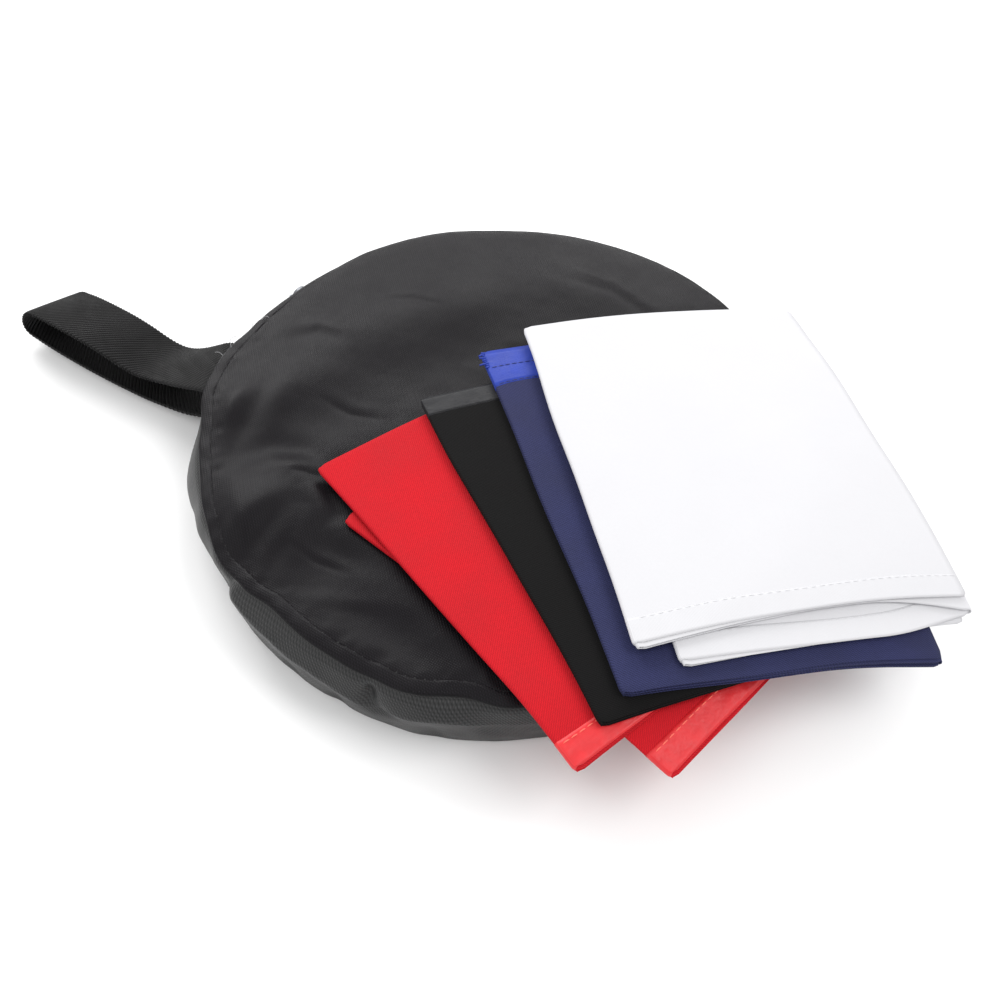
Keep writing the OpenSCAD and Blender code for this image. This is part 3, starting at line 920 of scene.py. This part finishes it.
def webbing_piece():
    """Flat ribbed webbing, looped out from the gusset and back."""
    low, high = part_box("handle_webbing")
    width = high.y - low.y
    middle = (low.y + high.y) / 2
    root_r = BAG_R + 2 * MM
    path = rounded_run(LOOP_RUN, 720) * MM
    run = run_of(path)
    rows, columns = 900, 84
    along = np.linspace(0, run[-1], rows)
    tip = run[np.argmax(path[:, 0])]
    across = np.linspace(-0.5, 0.5, columns)
    a, c = np.meshgrid(along, across, indexing="ij")
    s, z = np.interp(a, run, path[:, 0]), np.interp(a, run, path[:, 1])
    out = smooth_step(s / (34 * MM))
    upper = a < tip
    # The far edge hangs lower and stops shorter than the near one
    tilt = np.where(upper, -7.0 * MM * c * out, -1.0 * MM * c * out)
    tilt = tilt * smooth_step(np.abs(a - tip) / (14 * MM))
    s = s - 10 * MM * c * smooth_step(s / (106 * MM)) ** 3
    rim = np.sqrt(np.maximum(root_r ** 2 - (middle + c * width) ** 2, 0))
    root_share = smooth_step(1 - s / (30 * MM))
    x = -(rim * root_share + root_r * (1 - root_share)) - s
    y = middle + c * width * 0.985 - 2.0 * MM * np.sin(math.pi * np.clip(s / (104 * MM), 0, 1))
    cup = 0.7 * MM * np.cos(math.pi * c) * out * np.where(upper, 1, -0.3)
    z = z + tilt + cup + 0.5 * MM * ripple(a, c * width, 26, 5.0) * out * np.where(upper, 1, 0.3)
    points = np.stack([x, y, z], -1)
    normal = normals_of(points)
    slant = a * math.cos(RIB_TURN) + c * width * math.sin(RIB_TURN)
    rib = 0.22 * MM * np.sin(TAU * slant / RIB_PITCH)
    selvedge = 0.3 * MM * np.exp(-((0.5 - np.abs(c)) * width / (0.9 * MM)) ** 2)
    points = points + normal * (rib + selvedge)[..., None]
    flat = np.stack([a, c * width], -1)
    piece = make_object("carry_webbing", points, grid_faces(rows, columns), "webbing", flat)
    thicken(piece, 1.3 * MM, 0.0)
    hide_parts("handle_webbing")
    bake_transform(piece)


# ---- folded cloths --------------------------------------------------------------------


def zigzag(q, passes, length, pitch):
    """Where flat distance q lands on a sheet folded back and forth.
    Returns place along a pass, height from the top pass, and the sheet's upward normal."""
    radius = pitch / 2
    period = length + math.pi * radius
    k = np.clip(np.floor(q / period), 0, passes - 1)
    rest = q - k * period
    in_turn = (rest > length) & (k < passes - 1)
    even = np.mod(k, 2) < 0.5
    outward = np.where(even, 1.0, -1.0)
    end = np.where(even, length, 0.0)
    run = np.minimum(rest, length)
    theta = np.where(in_turn, (rest - length) / radius, 0.0)
    place = np.where(in_turn, end + outward * radius * np.sin(theta), np.where(even, run, length - run))
    height = -k * pitch - np.where(in_turn, radius * (1 - np.cos(theta)), 0.0)
    n_place = np.where(in_turn, np.sin(theta), 0.0)
    n_height = outward * np.cos(theta)
    return place, height, n_place, n_height


class Place:
    """Where a packet lies: its near corner, the way its length runs and its two end edges turn."""

    def __init__(self, corner, heading, near_turn, far_turn, width, length, widen=0.0):
        self.corner = np.array(corner, float)
        self.width, self.length, self.widen = width, length, widen
        self.run = np.array((math.sin(math.radians(heading)), -math.cos(math.radians(heading))))
        self.turns = math.radians(near_turn), math.radians(far_turn)
        middle = (self.turns[0] + self.turns[1]) / 2
        self.side = np.array((math.cos(middle), math.sin(middle)))

    def at(self, u, v):
        """u from 0 to 1 across the packet, v from 0 to 1 along it."""
        turn = self.turns[0] * (1 - v) + self.turns[1] * v
        reach = u * self.width * (1 + self.widen * v)
        x = self.corner[0] + self.run[0] * v * self.length + np.cos(turn) * reach
        y = self.corner[1] + self.run[1] * v * self.length + np.sin(turn) * reach
        return x, y

    def local(self, x, y):
        """Distances across and along the packet."""
        dx, dy = x - self.corner[0], y - self.corner[1]
        area = self.side[0] * self.run[1] - self.side[1] * self.run[0]
        return ((dx * self.run[1] - dy * self.run[0]) / area,
                (self.side[0] * dy - self.side[1] * dx) / area)


CLOTH_W = 116 * MM
CLOTH_L = 165 * MM
CORNER_ROUND = 2.0 * MM
# Share of a ply's pitch that its cloth fills
PLY_FILL = 0.62
HEM_SWELL = 1.35
SATIN_SWELL = 2.4


def round_corners(x, y):
    """Turns a packet's square corners into soft round ones; x and y run from 0 to 1."""
    in_x = np.where(x < 0.5, x, 1 - x) * CLOTH_W
    in_y = np.where(y < 0.5, y, 1 - y) * CLOTH_L
    cut_x = np.clip(CORNER_ROUND - in_x, 0, None)
    cut_y = np.clip(CORNER_ROUND - in_y, 0, None)
    keep = np.maximum(cut_x, cut_y) / np.maximum(np.hypot(cut_x, cut_y), 1e-9)
    keep = np.where((cut_x > 0) & (cut_y > 0), keep, 1.0)
    shift_x = cut_x * (1 - keep) / CLOTH_W
    shift_y = cut_y * (1 - keep) / CLOTH_L
    return (x + np.where(x < 0.5, shift_x, -shift_x), y + np.where(y < 0.5, shift_y, -shift_y))


def near_corner(node, turn, nudge):
    """The corner of a cloth's CAD packet that lies nearest the middle of the bag."""
    low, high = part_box(node)
    return (low.x + nudge[0] * MM, high.y - CLOTH_W * math.sin(math.radians(turn)) + nudge[1] * MM)


RED_AT = near_corner("red_backdrop", 66, (3.2, -2.2))
BLACK_AT = near_corner("black_backdrop", 52, (1.5, -0.7))
BLUE_AT = near_corner("blue_backdrop", 45, (0.4, -3.0))
WHITE_AT = near_corner("white_backdrop", 43, (0.3, 0.7))
RED_TOP = Place(RED_AT, 69.4, 64, 68, CLOTH_W, 159 * MM)
RED_LOW = Place((RED_AT[0] + 21.2 * MM, RED_AT[1] - 16.0 * MM), 81.0, 79, 77, 107 * MM, 157 * MM)
BLACK_TOP = Place(BLACK_AT, 56.2, 48.5, 51.0, CLOTH_W, 160 * MM)
BLUE_TOP = Place(BLUE_AT, 48.2, 43.0, 41.0, CLOTH_W * 1.04, 166.5 * MM)
WHITE_TOP = Place(WHITE_AT, 44.6, 37.8, 44.5, CLOTH_W, 158 * MM, 0.11)
WHITE_LOW = Place((WHITE_AT[0] + 18.4 * MM, WHITE_AT[1] + 4.8 * MM), 44.4, 39, 43.8, 101 * MM, 158 * MM,
                  0.11)
RESTING = [RED_TOP, RED_LOW, BLACK_TOP, BLUE_TOP, WHITE_TOP]


def stack_sag(x, y, gain):
    """The cloths follow the bag's swelling top and bow down past its rim."""
    r = np.hypot(x, y)
    past = np.clip((r - BAG_R) / (70 * MM), 0, None)
    return -1.9 * MM * (r / BAG_R) ** 2 - 12.0 * MM * gain * past ** 1.6


class FoldedCloth:
    """A hemmed cloth folded into four along its length, then into four across."""

    passes = 4
    lengths = 4

    def __init__(self, node, hem_far, top, low=None, seed=0.0, ease=0.4, sag=1.0,
                 swell=0.0, bow=0.0, fan=(0.0, 0.0)):
        box_low, box_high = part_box(node)
        self.base = box_low.z
        self.ply = (box_high.z - box_low.z) / (self.lengths * self.passes)
        self.stack = self.lengths * self.ply
        self.hem_far, self.top, self.low = hem_far, top, low or top
        self.seed, self.ease, self.sag, self.swell, self.bow = seed, ease, sag, swell, bow
        self.fan = fan
        self.period = CLOTH_W + math.pi * self.stack / 2
        self.run_u = self.passes * self.period - math.pi * self.stack / 2
        self.run_v = self.lengths * CLOTH_L + (self.lengths - 1) * math.pi * self.ply / 2

    def at(self, u, v, lift=0.0):
        """Points on the folded cloth from flat distances, lifted off the sheet's top face."""
        u, v = np.broadcast_arrays(np.asarray(u, float), np.asarray(v, float))
        y, down, ny, nz = zigzag(v, self.lengths, CLOTH_L, self.ply)
        offset = (self.stack - self.ply) / 2 + down + lift * nz
        y = y + lift * ny
        x, under, nx, nh = zigzag(u, self.passes, CLOTH_W, self.stack)
        x = (CLOTH_W - (x + nx * offset)) / CLOTH_W
        z = under + nh * offset
        y = (CLOTH_L - y if self.hem_far else y) / CLOTH_L
        x, y = round_corners(x, y)
        half = self.period * self.passes / 2
        share = smooth_step((u - half + 0.34 * self.period) / (0.68 * self.period))
        layer = np.clip(u / self.period, 0, self.passes)
        loose = self.ease * MM * np.sin(3.1 * layer + 1.9 * v / CLOTH_L + self.seed)
        top_x, top_y = self.top.at(x, y + self.bow * MM / CLOTH_L * np.sin(math.pi * np.clip(x, 0, 1)))
        below = np.clip(2 * layer - self.passes - 0.5, 0, None) * MM
        low_x, low_y = self.low.at(x + self.fan[0] * below / CLOTH_W, y + self.fan[1] * below / CLOTH_L)
        wx = top_x * (1 - share) + low_x * share + loose * 0.8
        wy = top_y * (1 - share) + low_y * share - loose * 0.6
        puff = 1 + self.swell * smooth_step((x - 0.45) / 0.6) * smooth_step((y - 0.1) / 0.9)
        wz = self.base + (self.passes - 0.5) * self.stack + z * puff
        wz = wz + stack_sag(wx, wy, self.sag)
        return np.stack([wx, wy, wz], -1)

    def soften(self, points):
        """Slow waves through the whole stack, and edges that aren't quite straight."""
        x, y = points[..., 0], points[..., 1]
        wave = 0.4 * MM * ripple(x, y, 22, 3.0)
        drift = 1.1 * MM * ripple(x, y, 20, 11 + self.seed)
        drift_2 = 1.1 * MM * ripple(x, y, 20, 17 + self.seed)
        return points + np.stack([drift, drift_2, wave], -1)

    def flare(self, u):
        """The hem's inner edge runs a little wider near the folded end, and wavers."""
        from_end = self.period - np.mod(u, 2 * self.period)
        wide = 1 + 0.16 * np.exp(-np.abs(from_end) / (9 * MM))
        return wide + 0.05 * np.sin(np.mod(u, self.period) / (13 * MM) + self.seed)

    def columns(self):
        """Flat distances at which the folded direction is sampled."""
        per_pass, per_turn = 44, 9
        turn = math.pi * self.stack / 2
        marks = []
        for k in range(self.passes):
            start = k * self.period
            marks.append(start + CLOTH_W * np.linspace(0, 1, per_pass, endpoint=False))
            if k < self.passes - 1:
                marks.append(start + CLOTH_W + turn * np.linspace(0, 1, per_turn, endpoint=False))
        marks.append([self.run_u])
        return np.concatenate(marks)

    def strip(self, name, v_marks, material, thickness, flare=False):
        """The part of the cloth at v_marks from its hem, through all of its folds."""
        u_marks = self.columns()
        u, v = np.meshgrid(u_marks, v_marks, indexing="ij")
        if flare:
            v = v * self.flare(u)
        points = self.soften(self.at(u, v))
        faces = grid_faces(len(u_marks), len(v_marks))
        return thicken(make_object(name, points, faces, material, np.stack([u, v], -1)), thickness, 0.0)

    def body(self, name, material):
        turn = math.pi * self.ply / 2
        marks = []
        for k in range(self.lengths):
            start = k * (CLOTH_L + turn)
            ends = CLOTH_L * (1 - np.cos(np.linspace(0, math.pi, 34))) / 2
            marks.append(start + 0.5 * ends + 0.5 * CLOTH_L * np.linspace(0, 1, 34))
            if k < self.lengths - 1:
                marks.append(start + CLOTH_L + turn * np.linspace(0, 1, 6)[1:-1])
        v_marks = np.concatenate(marks)
        return self.strip(name, v_marks, material, self.ply * PLY_FILL)

    def hem(self, name, start, width, material, swell):
        v_marks = start + np.linspace(0, width, 9)
        return self.strip(name, v_marks, material, self.ply * swell * PLY_FILL, flare=start < CLOTH_L)

    def stitches(self, name, pass_index, v, material, lift, gap, radius):
        """A row of stitches along the hem, on one pass of the folded cloth."""
        u = pass_index * self.period + CLOTH_W * np.linspace(0.005, 0.995, 160)
        path = self.soften(self.at(u, v * self.flare(u)))
        path[:, 2] += lift
        return stitch_line(name, path, material, CLOTH_STITCH, gap, radius)


HEM = 10 * MM
CLOTH_STITCH = 2.6 * MM
# Materials of cloth, tape and thread, slots of cloth and tape, width of the band in hems,
# passes that show stitches, and the thread's radius in millimetres
CLOTH_LOOKS = {
    "red": ("red", "red_tape", "red_thread", "red_cloth", "red_satin", 1.0, (0, 2), 0.24),
    "black": ("black", "black_tape", "thread", "black_cloth", "black_band", 0.95, (0,), 0.16),
    "blue": ("navy", "blue_tape", "blue_thread", "navy_cloth", "royal_satin", 1.9, (0,), 0.2),
    "white": ("white", "white_tape", "white_thread", "white_cloth", "white_hem", 1.0, (0, 2), 0.1),
}
# Where the rows of stitches run, as shares of the band
STITCH_AT = {"red": (0.86,), "black": (0.93,), "blue": (0.48, 0.96), "white": (0.93,)}


def frayed_end(cloth, material):
    """Cut threads standing out of the folded end of the hem tape."""
    count = 9
    piece = None
    for i in range(count):
        v = HEM * 0.95 * (i + 0.5) / count
        foot = cloth.soften(cloth.at(CLOTH_W, v))
        inner = cloth.soften(cloth.at(CLOTH_W * 0.97, v))
        out = (foot - inner) / np.linalg.norm(foot - inner)
        length = (1.5 + 0.8 * math.sin(2.3 * i)) * MM
        t = np.linspace(-0.3, 1, 8)[:, None]
        sway = np.array((0.35 * math.sin(i * 1.9), 0.35 * math.cos(i * 2.7), 0.25 * math.sin(i * 0.8)))
        path = foot + t * length * out + t * t * length * sway
        strand = tube(f"blue_fray_{i}", path, 0.42 * MM, material, sides=6, wobble=0.3)
        if piece is None:
            piece = strand
        else:
            join_mesh(piece, strand)
    piece.name = "blue_hem_fray"
    return piece


def cloth_pieces():
    cloths = {
        "red": FoldedCloth("red_backdrop", True, RED_TOP, RED_LOW,
                           seed=0.4, ease=0.7, sag=1.35, fan=(1.6, 0.7)),
        "black": FoldedCloth("black_backdrop", False, BLACK_TOP,
                             seed=1.3, ease=0.5, sag=1.12),
        "blue": FoldedCloth("blue_backdrop", False, BLUE_TOP,
                            seed=2.1, ease=0.4, sag=1.03, swell=0.9),
        "white": FoldedCloth("white_backdrop", True, WHITE_TOP, WHITE_LOW,
                             seed=0.9, ease=0.9, bow=-3.0, fan=(-0.9, -0.9)),
    }
    for key, cloth in cloths.items():
        body_mat, tape_mat, thread, slot, tape_slot, bands, shown, thread_size = CLOTH_LOOKS[key]
        body = key + "_cloth"
        sheet = cloth.body(body, body_mat)
        settle(sheet, body=body, nodes=(key + "_backdrop",))
        swell = SATIN_SWELL if key == "red" else HEM_SWELL
        tapes = [cloth.hem(key + "_hem", 0.0, HEM * bands, tape_mat, swell),
                 cloth.hem(key + "_hem_under", cloth.run_v - HEM, HEM, tape_mat, swell)]
        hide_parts(key + "_hem_tape")
        if key == "blue":
            tapes.append(frayed_end(cloth, tape_mat))
        lift = cloth.ply * PLY_FILL * swell / 2
        lines = [
            cloth.stitches(f"{key}_stitches_{k}_{i}", k, HEM * bands * share, thread, lift,
                           (0.25 if key == "blue" else 0.8) * MM, thread_size * MM)
            for k in shown for i, share in enumerate(STITCH_AT[key])
        ]
        for piece in tapes + lines:
            settle(piece, body=body)


# ---- what the bag holds ----------------------------------------------------------------


def folded_panel_piece():
    """The panel's round of cloth, laid back and forth inside the hoop's turns."""
    low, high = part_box("folded_panel")
    radius = (high.x - low.x) / 2 - 1.0 * MM
    layers = 11
    rise = (high.z - low.z - 3 * MM) / (layers - 1)
    rows, per_layer, per_turn = 44, 22, 5
    chord_marks = np.cos(np.linspace(math.pi, 0, rows)) * 0.985
    points, flat = [], []
    for across in chord_marks:
        half = radius * math.sqrt(max(1 - across * across, 0.0004))
        line = []
        run = 0.0
        for k in range(layers):
            z = low.z + 1.5 * MM + k * rise
            direction = 1 if k % 2 == 0 else -1
            for m in range(per_layer + 1):
                x = direction * half * (2 * m / per_layer - 1)
                wave = 0.35 * rise * noise.noise(Vector((x * 25, across * 3, k * 1.7)))
                line.append((x, across * radius, z + wave, run + half * 2 * m / per_layer))
            run += half * 2
            if k < layers - 1:
                for m in range(1, per_turn):
                    b = math.pi * m / per_turn
                    x = direction * (half + 0.5 * rise * math.sin(b))
                    line.append((x, across * radius, z + rise / 2 * (1 - math.cos(b)), run))
        points += [p[:3] for p in line]
        flat += [(p[3], p[1]) for p in line]
    piece = make_object("folded_panel_cloth", points, grid_faces(rows, len(line)), "pad", flat)
    thicken(piece, 0.35 * MM, 0.0)
    settle(piece, nodes=("folded_panel",))


def loose_threads():
    """Short ends of sewing thread left at the rim beside the carry loop."""
    # Direction of its foot, inset from the rim, length, heading and side it bends to
    ends = [
        (181, 0.4, 5.0, 40, 1), (183, 0.2, 4.0, 150, -1),
        (190, 1.0, 6.0, 100, 1), (192, 0.6, 4.0, 200, -1),
    ]
    for i, (angle, inset, length, turn, bend) in enumerate(ends):
        foot = rim_path(angle, angle, inset * MM, 0)[0]
        a = math.radians(turn)
        t = np.linspace(0, 1, 14)[:, None]
        out = np.array((math.cos(a), math.sin(a), 0.5)) * length * MM
        side = np.array((-math.sin(a), math.cos(a), 0.3)) * length * MM * 0.5 * bend
        path = foot + out * t + side * np.sin(math.pi * t) * t
        # The grey of these clear threads is a painted glint.
        piece = tube(f"thread_end_{i}", path, 0.11 * MM, "clear_thread", sides=6)
        settle(piece)


def dress_cad_nodes():
    """Finishes for the CAD parts that stay in view."""
    finish = {
        "spring_hoop": "steel", "hoop_sleeve": "edge", "hoop_ferrule": "ferrule",
        "zip_slider": "slider", "zip_pull": "slider", "zip_stops": "ferrule",
        "zip_end_tabs": "binding", "handle_anchors": "webbing",
    }
    for node, material in finish.items():
        obj = frame["nodes"][node]
        obj.data.materials.clear()
        obj.data.materials.append(MAT[material])


top_panel_piece()
for side, low, high, top in (
    ("front", SIDE_SEAM - 360, ZIP_FROM, RIM_Z + 0.6 * MM),
    ("side", ZIP_TO, SIDE_SEAM, RIM_Z + 0.6 * MM),
    ("rear", ZIP_FROM, ZIP_TO, GUSSET_REAR_Z),
):
    gusset_piece("gusset_cloth_" + side, "gusset_" + side, low, high, GUSSET_FOOT_Z, top)
seam_pieces()
bottom_pieces()
zip_pieces()
webbing_piece()
cloth_pieces()
folded_panel_piece()
loose_threads()
dress_cad_nodes()
